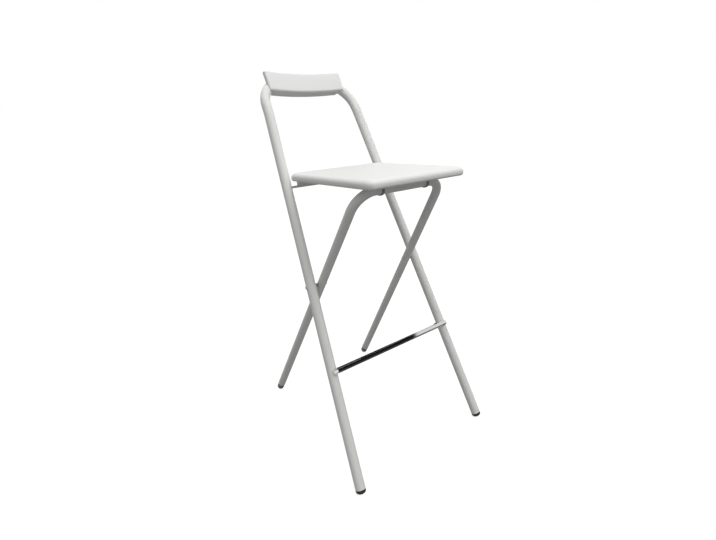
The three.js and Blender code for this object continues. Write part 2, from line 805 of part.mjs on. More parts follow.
function clipOutline() {
  const points = [
    [-clipEnd, clipTop],
    [-clipEnd, clipTop - clipWall],
    [-clipOuter, clipTop - clipWall],
  ];
  for (let i = 0; i <= tubeSides / 2; i++) {
    const angle = Math.PI + (i / (tubeSides / 2)) * Math.PI;
    points.push([clipOuter * Math.cos(angle), clipOuter * Math.sin(angle)]);
  }
  points.push([clipOuter, clipTop - clipWall], [clipEnd, clipTop - clipWall]);
  points.push([clipEnd, clipTop], [clipInner, clipTop]);
  for (let i = 0; i <= tubeSides / 2; i++) {
    const angle = -(i / (tubeSides / 2)) * Math.PI;
    points.push([clipInner * Math.cos(angle), clipInner * Math.sin(angle)]);
  }
  points.push([-clipInner, clipTop]);
  return points;
}

const clipScrewFace = clipTop - clipWall - fitGap;
const clipScrewForm = {
  shank: clipScrewShank,
  head: clipScrewHead,
  headHeight: clipScrewHeadHeight,
  length: 2 * fitGap + clipWall + clipScrewGrip,
};
const clipHoles = [];
for (const [side, sign] of sides) {
  const x = sign * (seatHalf - clipInset);
  const holes = [];
  for (const [end, way] of [
    ["front", -1],
    ["rear", 1],
  ]) {
    const origin = new THREE.Vector3(x, way * clipScrewY, clipScrewFace);
    const tip = origin.clone().addScaledVector(axisZ, clipScrewForm.length + fitGap);
    const form = aimed(screw(clipScrewForm), origin, axisZ);
    seatFrame.add(piece(`seat_clip_screw_${side}_${end}`, solid(form), "steel"));
    holes.push(pin(clipScrewShank / 2 + fitGap, origin, tip));
  }
  const strap = extrudedAcross(clipOutline(), x - clipWidth / 2, x + clipWidth / 2);
  seatFrame.add(piece(`seat_clip_${side}`, cut(strap, ...holes), "darkPlastic"));
  clipHoles.push(...holes);
}

const seatPocketTools = [
  ...seatPockets(seatFront + seatRim, -barPadHalf, 1),
  ...seatPockets(barPadHalf, rodY - rearPadLength, pocketRows),
];
const seatShell = cut(seatBody(), ...seatPocketTools, ...clipHoles);
const seat = sides.reduce((body, [, sign]) => body.add(saddle(sign)), seatShell);
seatFrame.add(piece("seat_panel", seat, "whitePlastic"));

// The origin lies on the floor, at the middle of the whole stool.
stool.updateMatrixWorld(true);
const extent = new THREE.Box3().setFromObject(stool, true);
const middle = extent.getCenter(new THREE.Vector3());
stool.position.set(-middle.x, -middle.y, -extent.min.z);
stool.updateMatrixWorld(true);

export default stool;
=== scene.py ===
import json
import math
import bpy
import numpy as np
from mathutils import Matrix


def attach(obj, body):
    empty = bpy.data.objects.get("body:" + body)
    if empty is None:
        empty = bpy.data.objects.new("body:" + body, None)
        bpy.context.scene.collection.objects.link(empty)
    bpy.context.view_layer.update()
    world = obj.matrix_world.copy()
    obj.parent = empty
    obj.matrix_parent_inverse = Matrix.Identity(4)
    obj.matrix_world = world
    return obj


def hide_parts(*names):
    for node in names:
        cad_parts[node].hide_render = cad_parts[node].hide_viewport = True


# A folding bar stool in metres: +Z up, -Y to the front, floor at zero.
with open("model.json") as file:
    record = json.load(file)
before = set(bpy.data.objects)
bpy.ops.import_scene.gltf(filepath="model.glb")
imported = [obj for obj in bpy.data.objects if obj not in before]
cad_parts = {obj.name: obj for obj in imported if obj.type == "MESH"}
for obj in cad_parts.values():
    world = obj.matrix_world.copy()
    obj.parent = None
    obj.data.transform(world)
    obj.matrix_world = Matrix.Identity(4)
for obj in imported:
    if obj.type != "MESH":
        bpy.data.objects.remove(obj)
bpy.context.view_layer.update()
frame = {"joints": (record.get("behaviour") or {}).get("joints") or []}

stance = {
    "frontLean": math.radians(29.85),  # front frame from the vertical, top to the rear
    "rearLean": math.radians(27.2),  # rear frame from the vertical, top to the front
    "frontHalf": 0.1797,  # middle of the stool to a front tube, at the pivot
    "frontSplay": math.radians(4.54),
    "rearSplay": math.radians(3.12),
    "frontTube": 0.0254,
    "rearTube": 0.022,
    "wall": 0.0015,
    "pivotGap": 0.0083,  # between the tubes at the pivot
    "gap": 0.0003,  # between pieces that touch
}
jointSpots = {joint["name"]: np.array(joint["pos_m"]) for joint in frame["joints"]}
pivotSpot = jointSpots["leg_fold"]
seatSpot = jointSpots["seat_flip"]
sides = [("left", -1), ("right", 1)]
gap = stance["gap"]
frontRadius = stance["frontTube"] / 2
rearRadius = stance["rearTube"] / 2
frontBore = frontRadius - stance["wall"]
frontSide = frontRadius / math.cos(stance["frontSplay"])
rearSide = rearRadius / math.cos(stance["rearSplay"])
rearHalf = stance["frontHalf"] - frontSide - stance["pivotGap"] - rearSide


def frontHalfAt(height):  # half the width between the front tubes, along the frame
    return stance["frontHalf"] - math.tan(stance["frontSplay"]) * height


def rearHalfAt(height):
    return rearHalf - math.tan(stance["rearSplay"]) * height


def aboutX(points, angle):  # turns points about +X: y and z by the usual two-term rule
    points = np.asarray(points, float)
    y = points[..., 1] * math.cos(angle) - points[..., 2] * math.sin(angle)
    z = points[..., 1] * math.sin(angle) + points[..., 2] * math.cos(angle)
    return np.stack([points[..., 0], y, z], axis=-1)


def onFront(points):  # from the front frame's own axes to the world
    return aboutX(points, -stance["frontLean"]) + pivotSpot


def onRear(points):
    return aboutX(points, stance["rearLean"]) + pivotSpot


# Mesh helpers

def gridFaces(rows, columns, wrapRows=False, wrapColumns=True, start=0):
    # quads between neighbouring rows and columns, the last ones joined to the first if wrapped
    r = np.arange(rows if wrapRows else rows - 1)[:, None]
    c = np.arange(columns if wrapColumns else columns - 1)[None, :]
    a = r * columns + c
    b = r * columns + (c + 1) % columns
    d = ((r + 1) % rows) * columns + c
    e = ((r + 1) % rows) * columns + (c + 1) % columns
    return (np.stack([a, b, e, d], axis=-1) + start).reshape(-1, 4)


def shadeSmooth(mesh, sharp):  # smooth faces, with edges kept sharp beyond an angle in degrees
    mesh.polygons.foreach_set("use_smooth", np.ones(len(mesh.polygons), bool))
    mesh.set_sharp_from_angle(angle=math.radians(sharp))


def meshPiece(name, points, quads, polygons=(), sharp=40.0):
    mesh = bpy.data.meshes.new(name)
    faces = [list(map(int, face)) for face in quads] + [list(map(int, face)) for face in polygons]
    mesh.from_pydata(np.asarray(points, float).reshape(-1, 3).tolist(), [], faces)
    mesh.validate()
    shadeSmooth(mesh, sharp)
    mesh.update()
    piece = bpy.data.objects.new(name, mesh)
    bpy.context.scene.collection.objects.link(piece)
    return piece


def skinPiece(name, rings, sharp=40.0, flip=False):
    # a closed skin over rings of points: quads between the rings, one polygon over each end
    rings = np.asarray(rings, float)
    count, around = rings.shape[:2]
    quads = gridFaces(count, around)
    first = np.arange(around)[::-1]
    last = np.arange(around) + (count - 1) * around
    polygons = [first, last]
    if flip:
        quads = quads[:, ::-1]
        polygons = [face[::-1] for face in polygons]
    return meshPiece(name, rings, quads, polygons, sharp)


def joined(name, pieces):  # several meshes kept as one object
    verts, faces = [], []
    start = 0
    for piece in pieces:
        mesh = piece.data
        points = np.zeros(len(mesh.vertices) * 3, np.float32)
        mesh.vertices.foreach_get("co", points)
        verts.append(points.reshape(-1, 3))
        faces += [[index + start for index in face.vertices] for face in mesh.polygons]
        start += len(mesh.vertices)
        bpy.data.objects.remove(piece)
    return meshPiece(name, np.concatenate(verts), [], faces)


def carved(piece, tool):  # takes the tool's space out of the piece
    cut = piece.modifiers.new("carve", "BOOLEAN")
    cut.operation = "DIFFERENCE"
    cut.solver = "EXACT"
    cut.object = tool
    graph = bpy.context.evaluated_depsgraph_get()
    mesh = bpy.data.meshes.new_from_object(piece.evaluated_get(graph))
    piece.modifiers.clear()
    piece.data = mesh
    bpy.data.objects.remove(tool)
    shadeSmooth(mesh, 40.0)
    return piece


def softened(piece, width, angle=35.0):  # rounds the edges sharper than an angle in degrees
    bevel = piece.modifiers.new("soft edges", "BEVEL")
    bevel.width = width
    bevel.segments = 2
    bevel.limit_method = "ANGLE"
    bevel.angle_limit = math.radians(angle)
    bevel.harden_normals = True
    return piece


def axesFor(direction):  # two unit vectors square to a direction, and the direction's own
    along = np.asarray(direction, float) / np.linalg.norm(direction)
    helper = np.array([0.0, 0.0, 1.0]) if abs(along[2]) < 0.9 else np.array([1.0, 0.0, 0.0])
    first = np.cross(helper, along)
    first /= np.linalg.norm(first)
    return first, np.cross(along, first), along


pole = 0.0004  # radius of the small flat that closes a turned end
domeFlat = 0.04  # share of a dome's radius that is left flat at its crown


def turnedRings(profile, origin, direction, around=48):
    # each ring: origin + height along the axis + radius times cosine and sine of the turn
    profile = np.asarray(profile, float)
    first, second, along = axesFor(direction)
    angles = np.linspace(0, 2 * math.pi, around, endpoint=False)
    spoke = np.cos(angles)[:, None] * first + np.sin(angles)[:, None] * second
    centre = np.asarray(origin, float) + profile[:, 1, None] * along
    return centre[:, None, :] + profile[:, 0, None, None] * spoke[None]


def quarter(radius, height, base, steps=10):  # a quarter dome from its rim to near its crown
    angle = np.linspace(0, math.pi / 2, steps + 1)[:-1]
    points = np.stack([radius * np.cos(angle), base + height * np.sin(angle)], axis=-1)
    return np.concatenate([points, [[radius * domeFlat, base + height]]])


def fillet(radiusAt, heightAt, size, start, end, steps=5):
    # an arc of a given size about a centre, between two angles in degrees
    angle = np.radians(np.linspace(start, end, steps + 1))
    return np.stack([radiusAt + size * np.cos(angle), heightAt + size * np.sin(angle)], axis=-1)


def cornerOutline(halfX, halfY, radius, steps):
    # a rectangle with round corners: each corner's centre plus radius times cosine and sine
    corner = np.repeat(np.arange(4), steps + 1)
    share = np.tile(np.linspace(0, 1, steps + 1), 4)
    angle = (corner + share) * math.pi / 2
    signX = np.array([1, -1, -1, 1])[corner]
    signY = np.array([1, 1, -1, -1])[corner]
    values = (halfX, halfY, radius)
    halfX, halfY, radius = (np.asarray(value, float)[..., None] for value in values)
    x = signX * (halfX - radius) + radius * np.cos(angle)
    y = signY * (halfY - radius) + radius * np.sin(angle)
    return x, y


# Shader helpers

class Wire:  # one output of a node; sums, differences and products add Math nodes
    def __init__(self, paint, socket):
        self.paint = paint
        self.socket = socket

    def maths(self, operation, first, second):
        return self.paint.node("ShaderNodeMath", {"operation": operation}, {0: first, 1: second})

    def __add__(self, other):
        return self.maths("ADD", self, other)

    __radd__ = __add__

    def __sub__(self, other):
        return self.maths("SUBTRACT", self, other)

    def __rsub__(self, other):
        return self.maths("SUBTRACT", other, self)

    def __mul__(self, other):
        return self.maths("MULTIPLY", self, other)

    __rmul__ = __mul__


class Paint:  # a material under construction
    def __init__(self, name, tree=None):
        self.material = None  # stays empty for the world
        if tree is None:
            self.material = bpy.data.materials.new(name)
            self.material.use_nodes = True
            tree = self.material.node_tree
        tree.nodes.clear()
        self.tree = tree

    def node(self, kind, settings=None, sockets=None, out=0):
        made = self.tree.nodes.new(kind)
        for key, value in (settings or {}).items():
            if key == "stops":
                ramp = made.color_ramp
                while len(ramp.elements) < len(value):
                    ramp.elements.new(0.5)
                for element, (place, level) in zip(ramp.elements, value):
                    element.position = place
                    element.color = (level, level, level, 1)
            else:
                setattr(made, key, value)
        for key, value in (sockets or {}).items():
            if isinstance(value, Wire):
                self.tree.links.new(value.socket, made.inputs[key])
            else:
                made.inputs[key].default_value = value
        return Wire(self, made.outputs[out])

    def noise(self, place, scale, detail=2.0, roughness=0.5, distortion=0.0):
        sockets = {"Vector": place, "Scale": scale, "Detail": detail}
        sockets.update({"Roughness": roughness, "Distortion": distortion})
        return self.node("ShaderNodeTexNoise", None, sockets, out="Fac")

    def ramp(self, value, stops):
        return self.node("ShaderNodeValToRGB", {"stops": stops}, {"Fac": value}, out="Color")

    def mix(self, share, first, second):
        sockets = {"Factor": share, 6: first, 7: second}
        return self.node("ShaderNodeMix", {"data_type": "RGBA"}, sockets, out=2)

    def bump(self, height, strength, distance):
        sockets = {"Height": height, "Strength": strength, "Distance": distance}
        return self.node("ShaderNodeBump", None, sockets, out="Normal")

    def show(self, surface, kind="ShaderNodeOutputMaterial"):
        made = self.tree.nodes.new(kind)
        self.tree.links.new(surface.socket, made.inputs["Surface"])
        return self.material


def tone(level, tint=(1.0, 1.0, 1.0)):
    return (level * tint[0], level * tint[1], level * tint[2], 1.0)


def blended(wires, shares):  # the wires times their shares, added up
    parts = [wires[key] * share for key, share in shares.items()]
    total = parts[0]
    for part in parts[1:]:
        total = total + part
    return total


print("materials")


def surfaceOf(look):
    # noises, some through a ramp; their weighted sums set the tint, the roughness and the relief
    paint = Paint(look["name"])
    place = paint.node("ShaderNodeTexCoord", out="Object")
    wires = {key: paint.noise(place, **noise) for key, noise in look["noises"].items()}
    for key, stops in look["stops"].items():
        wires[key] = paint.ramp(wires[key], stops)
    colour = paint.mix(blended(wires, look["tint"]), look["light"], look["dull"])
    rough = blended(wires, look["roughen"]) + look["rough"]
    normal = paint.bump(blended(wires, look["relief"]), **look["bump"])
    sockets = {"Base Color": colour, "Roughness": rough, "Normal": normal, **look["fixed"]}
    return paint.show(paint.node("ShaderNodeBsdfPrincipled", None, sockets, out="BSDF"))


def rubberLook(name, level, rough):  # matt: fine grain, scuffed and dusty in places
    return {
        "name": name,
        "noises": {
            "grain": {"scale": 1300.0, "detail": 3.0, "roughness": 0.6},
            "dust": {"scale": 120.0, "detail": 5.0, "roughness": 0.65},
        },
        "stops": {"dust": [(0.48, 0.0), (0.78, 1.0)]},
        "light": tone(level),
        "dull": tone(level * 1.7 + 0.012, (1.0, 0.99, 0.97)),
        "tint": {"dust": 0.5},
        "rough": rough,
        "roughen": {"grain": 0.1, "dust": 0.08},
        "relief": {"grain": 1.0},
        "bump": {"strength": 0.3, "distance": 0.00025},
        "fixed": {},
    }


looks = {
    "coat": {  # satin powder coat: orange peel, faint dust, scuffed spots that are duller
        "name": "powderCoat",
        "noises": {
            "peel": {"scale": 520.0, "detail": 2.0, "roughness": 0.45},
            "grit": {"scale": 2600.0, "detail": 1.0},
            "cloud": {"scale": 14.0, "detail": 4.0, "roughness": 0.6},
            "scuff": {"scale": 55.0, "detail": 6.0, "roughness": 0.72, "distortion": 0.6},
        },
        "stops": {"scuff": [(0.60, 0.0), (0.72, 1.0)]},
        "light": tone(0.80, (1.0, 1.0, 0.98)),
        "dull": tone(0.752, (1.0, 0.995, 0.97)),
        "tint": {"cloud": 0.6, "scuff": 0.25},
        "rough": 0.34,
        "roughen": {"cloud": 0.10, "scuff": 0.10},
        "relief": {"peel": 0.8, "grit": 0.2},
        "bump": {"strength": 0.06, "distance": 0.0001},
        "fixed": {"Specular IOR Level": 0.2},
    },
    "plastic": {  # moulded: fine spark texture, faint flow marks and handling
        "name": "mouldedPlastic",
        "noises": {
            "grain": {"scale": 1500.0, "detail": 3.0, "roughness": 0.6},
            "flow": {"scale": 7.0, "detail": 3.0, "roughness": 0.55, "distortion": 0.8},
            "rub": {"scale": 32.0, "detail": 6.0, "roughness": 0.7},
        },
        "stops": {"rub": [(0.58, 0.0), (0.74, 1.0)]},
        "light": tone(0.84, (0.995, 1.0, 0.99)),
        "dull": tone(0.8022, (1.0, 0.997, 0.98)),
        "tint": {"flow": 0.7, "rub": 0.2},
        "rough": 0.48,
        "roughen": {"flow": 0.08, "rub": -0.08},
        "relief": {"grain": 1.0},
        "bump": {"strength": 0.18, "distance": 0.0002},
        "fixed": {},
    },
    "chrome": {  # bright plate with faint smears and fine pits
        "name": "chromePlate",
        "noises": {
            "smear": {"scale": 30.0, "detail": 5.0, "roughness": 0.65, "distortion": 1.0},
            "pits": {"scale": 900.0, "detail": 2.0},
        },
        "stops": {"pits": [(0.70, 0.0), (0.80, 1.0)]},
        "light": tone(0.80),
        "dull": tone(0.656),
        "tint": {"pits": 0.5},
        "rough": 0.01,
        "roughen": {"smear": 0.02, "pits": 0.03},
        "relief": {"pits": 1.0},
        "bump": {"strength": -0.02, "distance": 0.0001},
        "fixed": {"Metallic": 1.0},
    },
    "steel": {  # zinc plate: mottled, slightly scratched
        "name": "zincSteel",
        "noises": {
            "mottle": {"scale": 420.0, "detail": 4.0, "roughness": 0.6},
            "scratch": {"scale": 2400.0, "detail": 2.0, "roughness": 0.7, "distortion": 2.0},
        },
        "stops": {},
        "light": tone(0.572, (1.0, 1.0, 1.01)),
        "dull": tone(0.3744, (1.0, 0.99, 0.96)),
        "tint": {"mottle": 1.0},
        "rough": 0.19,
        "roughen": {"mottle": 0.2, "scratch": 0.1},
        "relief": {"scratch": 1.0},
        "bump": {"strength": 0.15, "distance": 0.0001},
        "fixed": {"Metallic": 1.0},
    },
    "black": rubberLook("blackRubber", 0.012, 0.57),
    "grey": rubberLook("greyRubber", 0.20, 0.61),
    "dark": rubberLook("darkPlastic", 0.25, 0.45),
}
surfaces = {key: surfaceOf(look) for key, look in looks.items()}


def settled(piece, look, body, *nodes):  # finish, body and the CAD nodes the piece stands for
    piece.data.materials.clear()
    piece.data.materials.append(surfaces[look])
    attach(piece, body)
    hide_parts(*nodes)


print("tube frames")

frontHoop = {
    "top": 0.555,  # pivot to the backrest bar, along the frame
    "bend": 0.082,  # radius of the bends
    "bow": 0.025,  # the bar's middle lies this far back
    "bowHalf": 0.174,  # the bow would reach the frame's plane here
    "bowStart": 0.105,  # the tubes lean back from this far below the bar
    "bowFull": 0.025,  # and follow the bow from here up
}
rearHoop = {"top": 0.2818, "bend": 0.052}  # pivot to the seat bar, and the bends' radius
rearBore = rearRadius - stance["wall"]
# the feet, which the tubes end on
frontFoot = {
    "radius": frontRadius,
    "plug": frontBore - gap,
    "plugLength": 0.016,
    "dome": 0.008,  # height of the rounded end
    "rim": 0.0035,  # dome's base to the tube's end
    "edge": 0.0005,  # how far the rim's edge is rounded
    "ground": 0.0008,  # depth of the flat on the floor
}
rearFoot = {
    "radius": 0.01025,
    "plug": rearBore - gap,
    "plugLength": 0.016,
    "dome": 0.009,
    "rim": 0.017,
    "edge": 0.0008,
    "ground": 0.0008,
}


def footHeight(foot, lean, splay):  # a rounded foot's centre below the pivot, along the frame
    tilt = math.acos(math.cos(lean) * math.cos(splay))
    reach = math.hypot(foot["radius"] * math.sin(tilt), foot["dome"] * math.cos(tilt))
    return -(pivotSpot[2] - reach + foot["ground"]) / math.cos(lean)


frontFootZ = footHeight(frontFoot, stance["frontLean"], stance["frontSplay"])
frontEndZ = frontFootZ + (frontFoot["rim"] + gap) * math.cos(stance["frontSplay"])
rearFootZ = footHeight(rearFoot, stance["rearLean"], stance["rearSplay"])
rearEndZ = rearFootZ + (rearFoot["rim"] + gap) * math.cos(stance["rearSplay"])


def bowAt(x):  # how far back the backrest bar lies: a parabola in x
    return frontHoop["bow"] * (1 - (x / frontHoop["bowHalf"]) ** 2)


def hoopLine(hoop, halfAt, splay, low):
    # legs as straight lines, bends as arcs, the bar as a line; the bow adds a parabola in x
    # times a smooth step in the height
    top, bend = hoop["top"], hoop["bend"]
    bendZ = top - bend
    joinZ = bendZ + bend * math.sin(splay)
    bendX = halfAt(joinZ) - bend * math.cos(splay)
    breaks = [low, top - hoop["bowStart"]] if "bow" in hoop else [low]
    spans = zip(breaks, breaks[1:] + [joinZ])
    legZ = np.concatenate([np.linspace(a, b, 12, endpoint=False) for a, b in spans])
    angle = np.linspace(splay, math.pi / 2, 25)
    rightX = np.concatenate([halfAt(legZ), bendX + bend * np.cos(angle)])
    rightZ = np.concatenate([legZ, bendZ + bend * np.sin(angle)])
    barX = np.linspace(bendX, -bendX, 34)[1:-1]
    x = np.concatenate([rightX, barX, -rightX[::-1]])
    z = np.concatenate([rightZ, np.full(len(barX), top), rightZ[::-1]])
    y = np.zeros(len(x))
    if "bow" in hoop:
        low, high = top - hoop["bowStart"], top - hoop["bowFull"]
        share = np.clip((z - low) / (high - low), 0, 1)
        y = bowAt(x) * share * share * (3 - 2 * share)
    return np.stack([x, y, z], axis=-1)


def lineFrames(line):  # unit tangent, forward and side vectors at each point of a line
    step = np.diff(line, axis=0)
    step /= np.linalg.norm(step, axis=1)[:, None]
    along = np.concatenate([step[:1], step[:-1] + step[1:], step[-1:]])
    along /= np.linalg.norm(along, axis=1)[:, None]
    front = np.array([0.0, -1.0, 0.0])
    ahead = front - along * (along @ front)[:, None]
    ahead /= np.linalg.norm(ahead, axis=1)[:, None]
    return along, ahead, np.cross(along, ahead)


def tubePiece(name, line, radius, bore, place, around=56):
    # the outer wall along the line and the inner wall back, closed into one ring of rings
    along, ahead, side = lineFrames(line)
    angle = np.linspace(0, 2 * math.pi, around, endpoint=False)
    cosine, sine = np.cos(angle)[None, :, None], np.sin(angle)[None, :, None]
    spoke = cosine * ahead[:, None] + sine * side[:, None]
    outer = line[:, None] + radius * spoke
    inner = line[:, None] + bore * spoke
    rings = place(np.concatenate([outer, inner[::-1]]))
    quads = gridFaces(len(rings), around, wrapRows=True)
    return meshPiece(name, rings, quads[:, ::-1], sharp=50.0)


frontLine = hoopLine(frontHoop, frontHalfAt, stance["frontSplay"], frontEndZ)
rearLine = hoopLine(rearHoop, rearHalfAt, stance["rearSplay"], rearEndZ)
frontFrame = tubePiece("frontFrameTube", frontLine, frontRadius, frontBore, onFront)
settled(frontFrame, "coat", "frame", "front_leg_frame")
rearFrame = tubePiece("rearFrameTube", rearLine, rearRadius, rearBore, onRear)
settled(rearFrame, "coat", "rear_legs", "rear_leg_frame")

print("feet")


def footPiece(name, foot, splay, sign, spot, place):
    # a dome, a straight rim with a rounded edge and a plug, turned about the leg's line
    radius, rim, edge = foot["radius"], foot["rim"], foot["edge"]
    top = rim + foot["plugLength"]
    profile = np.concatenate([
        quarter(radius, -foot["dome"], 0.0, 14)[::-1],
        fillet(radius - edge, rim - edge, edge, 0, 90),
        [[foot["plug"], rim], [foot["plug"], top], [pole, top]],
    ])
    axis = [-sign * math.sin(splay), 0.0, math.cos(splay)]
    rings = place(turnedRings(profile, spot, axis, 64))
    rings[..., 2] = np.maximum(rings[..., 2], 0.0)  # flat on the floor
    return skinPiece(name, rings, 45.0)


for side, sign in sides:
    spot = [sign * frontHalfAt(frontFootZ), 0.0, frontFootZ]
    foot = footPiece(f"frontFoot_{side}", frontFoot, stance["frontSplay"], sign, spot, onFront)
    settled(foot, "black", "frame", f"front_foot_{side}")
    spot = [sign * rearHalfAt(rearFootZ), 0.0, rearFootZ]
    foot = footPiece(f"rearFoot_{side}", rearFoot, stance["rearSplay"], sign, spot, onRear)
    settled(foot, "grey", "rear_legs", f"rear_foot_{side}")

print("footrest")

footrest = {
    "height": 0.2603,  # its notches above the floor
    "bar": 0.014,
    "sink": 0.0052,  # how deep the tubes lie in the notches
    "past": 0.0044,  # past the tube's centre
    "edge": 0.0015,  # how far the end faces are rounded
    "notchEdge": 0.0003,
    "screw": {"head": 0.010, "height": 0.003, "shank": 0.005, "length": 0.0318},
}
footrestZ = -(pivotSpot[2] - footrest["height"]) / math.cos(stance["frontLean"])
footrestY = -(frontRadius + gap + footrest["bar"] / 2 - footrest["sink"])
footrestX = frontHalfAt(footrestZ)


def footrestPiece():
    # a straight line with a quarter arc and a flat end face at both ends, turned about x
    half, radius, edge = footrestX + footrest["past"], footrest["bar"] / 2, footrest["edge"]
    straight = np.linspace(-(half - edge), half - edge, 40)[1:-1]
    profile = np.concatenate([
        [[pole, -half]],
        fillet(radius - edge, -(half - edge), edge, -90, 0, 8),
        np.column_stack([np.full(len(straight), radius), straight]),
        fillet(radius - edge, half - edge, edge, 0, 90, 8),
        [[pole, half]],
    ])
    rings = turnedRings(profile, [0.0, footrestY, footrestZ], [1.0, 0.0, 0.0], 72)
    return skinPiece("footrestBar", onFront(rings), 40.0)


def notchPiece(sign):  # a cylinder along a front tube: the room it takes in the bar
    splay, reach = stance["frontSplay"], footrest["bar"]
    centre = [sign * frontHalfAt(footrestZ), 0.0, footrestZ]
    axis = [-sign * math.sin(splay), 0.0, math.cos(splay)]
    radius = frontRadius + gap
    rings = turnedRings([[radius, -reach], [radius, reach]], centre, axis, 72)
    return skinPiece("notch", onFront(rings))


notches = joined("notches", [notchPiece(sign) for side, sign in sides])
footrestBar = softened(carved(footrestPiece(), notches), footrest["notchEdge"], 50.0)
settled(footrestBar, "chrome", "frame", "footrest_bar")

recess = {  # of the screws, as shares of the head
    "arm": 0.085,  # half the width of an arm
    "reach": 0.30,
    "wall": 0.05,  # how far the walls slope
    "depth": 0.55,  # share of the head's height
}


def screwPiece(name, origin, direction, head, height, shank, length):
    # a dome over the head's radius, less a cross-shaped recess with soft walls, and a plain shank;
    # the rings lie closer where the recess is
    first, second, along = axesFor(direction)
    radius = np.concatenate([np.linspace(0.02, 0.62, 16), np.linspace(0.68, 1.0, 8)]) * head / 2
    angle = np.linspace(0, 2 * math.pi, 64, endpoint=False)
    x = radius[:, None] * np.cos(angle)
    y = radius[:, None] * np.sin(angle)
    crown = height * np.sqrt(np.maximum(1 - (radius / (head / 2)) ** 2, 0))[:, None]
    width, reach = head * recess["arm"], head * recess["reach"]
    arm = np.minimum(
        np.maximum(np.abs(x) - width, np.abs(y) - reach),
        np.maximum(np.abs(y) - width, np.abs(x) - reach),
    )
    cross = np.clip(0.5 - arm / (head * recess["wall"]), 0, 1) * height * recess["depth"]
    level = crown - cross
    under = np.array([[shank / 2, 0.0], [shank / 2, length]])
    top = x[..., None] * first + y[..., None] * second - level[..., None] * along
    spoke = np.cos(angle)[:, None] * first + np.sin(angle)[:, None] * second
    stem = under[:, None, 1, None] * along + under[:, 0, None, None] * spoke[None]
    rings = np.concatenate([top, stem]) + np.asarray(origin, float)
    return skinPiece(name, rings, 35.0)


for side, sign in sides:
    spot = onFront([sign * footrestX, frontRadius + gap, footrestZ])
    forward = aboutX([0.0, -1.0, 0.0], -stance["frontLean"])
    screw = screwPiece(f"footrestScrew_{side}", spot, forward, **footrest["screw"])
    settled(screw, "steel", "frame", f"footrest_screw_{side}")

print("pivots, buffers and rod")

small = {
    "shank": 0.005,  # diameters of the rivet's shank and head
    "rivet": 0.011,
    "rivetHeight": 0.0009,
    "rivetEdge": 0.0004,  # straight part of a head's side
    "spacer": 0.008,
    "chamfer": 0.0004,
    "buffer": 0.011,
    "bufferHeight": 0.009,
    "bufferRim": 0.3,  # share of its height below the dome
    "bufferRise": 0.001,  # above the footrest's notches, along the tube
    "bufferTurn": math.radians(30),  # from the tube's inner side towards its rear
    "bufferStem": 0.004,
    "stemLength": 0.005,
    "stemPole": 0.0003,
    "rod": 0.006,
    "rodReach": 0.2576,  # pivot to the rod, along the frame
}
frontSlant = math.tan(stance["frontSplay"]) / 2
rearSlant = math.tan(stance["rearSplay"]) / 2
rivetInner = rearHalf - rearSide - gap - rearSlant * small["rivet"]
rivetOuter = stance["frontHalf"] + frontSide + gap + frontSlant * small["rivet"]
spacerInner = rearHalf + rearSide + gap + rearSlant * small["spacer"]
spacerOuter = stance["frontHalf"] - frontSide - gap - frontSlant * small["spacer"]
for side, sign in sides:
    outward = np.array([float(sign), 0.0, 0.0])
    head, shank = small["rivet"] / 2, small["shank"] / 2
    tall, edge = small["rivetHeight"], small["rivetEdge"]
    profile = np.concatenate([
        quarter(head, -tall, rivetInner - edge, 12)[::-1],
        [[head, rivetInner], [shank, rivetInner], [shank, rivetOuter], [head, rivetOuter]],
        quarter(head, tall, rivetOuter + edge, 12),
    ])
    profile[:, 1] = np.clip(profile[:, 1], rivetInner - tall, rivetOuter + tall)
    rivet = skinPiece(f"pivotRivet_{side}", turnedRings(profile, pivotSpot, outward), 35.0)
    settled(rivet, "coat", "frame", f"pivot_rivet_{side}")

    bore, edge, chamfer = shank + gap, small["spacer"] / 2, small["chamfer"]
    profile = [
        [bore, spacerInner],
        [edge - chamfer, spacerInner],
        [edge, spacerInner + chamfer],
        [edge, spacerOuter - chamfer],
        [edge - chamfer, spacerOuter],
        [bore, spacerOuter],
    ]
    rings = turnedRings(profile, pivotSpot, outward)
    quads = gridFaces(*rings.shape[:2], wrapRows=True)
    spacer = meshPiece(f"pivotSpacer_{side}", rings, quads, sharp=35.0)
    settled(spacer, "dark", "frame", f"pivot_spacer_{side}")

    bufferZ = footrestZ + small["bufferRise"]
    splay, turn = stance["frontSplay"], small["bufferTurn"]
    inward = np.array([-sign * math.cos(splay), 0.0, -math.sin(splay)]) * math.cos(turn)
    inward[1] = math.sin(turn)
    face = np.array([sign * frontHalfAt(bufferZ), 0.0, bufferZ]) + inward * (frontRadius + gap)
    edge, stem, deep = small["buffer"] / 2, small["bufferStem"] / 2, -small["stemLength"]
    rim = small["bufferHeight"] * small["bufferRim"]
    profile = np.concatenate([
        [[small["stemPole"], deep], [stem, deep], [stem, 0.0]],
        [[edge - chamfer, 0.0], [edge, chamfer]],
        quarter(edge, small["bufferHeight"] - rim, rim, 12),
    ])
    buffer = skinPiece(f"legBuffer_{side}", onFront(turnedRings(profile, face, inward, 40)), 40.0)
    settled(buffer, "black", "frame", f"leg_buffer_{side}")

rodX = frontHalfAt(small["rodReach"])
rodEnd = rodX + frontBore / 2
rodProfile = [[small["rod"] / 2, height] for height in np.linspace(0, 2 * rodEnd, 24)]
rodRings = turnedRings(rodProfile, [-rodEnd, 0.0, small["rodReach"]], [1.0, 0.0, 0.0], 32)
rod = skinPiece("crossRod", onFront(rodRings), 40.0)
settled(rod, "coat", "frame", "seat_support_rod")

print("backrest")

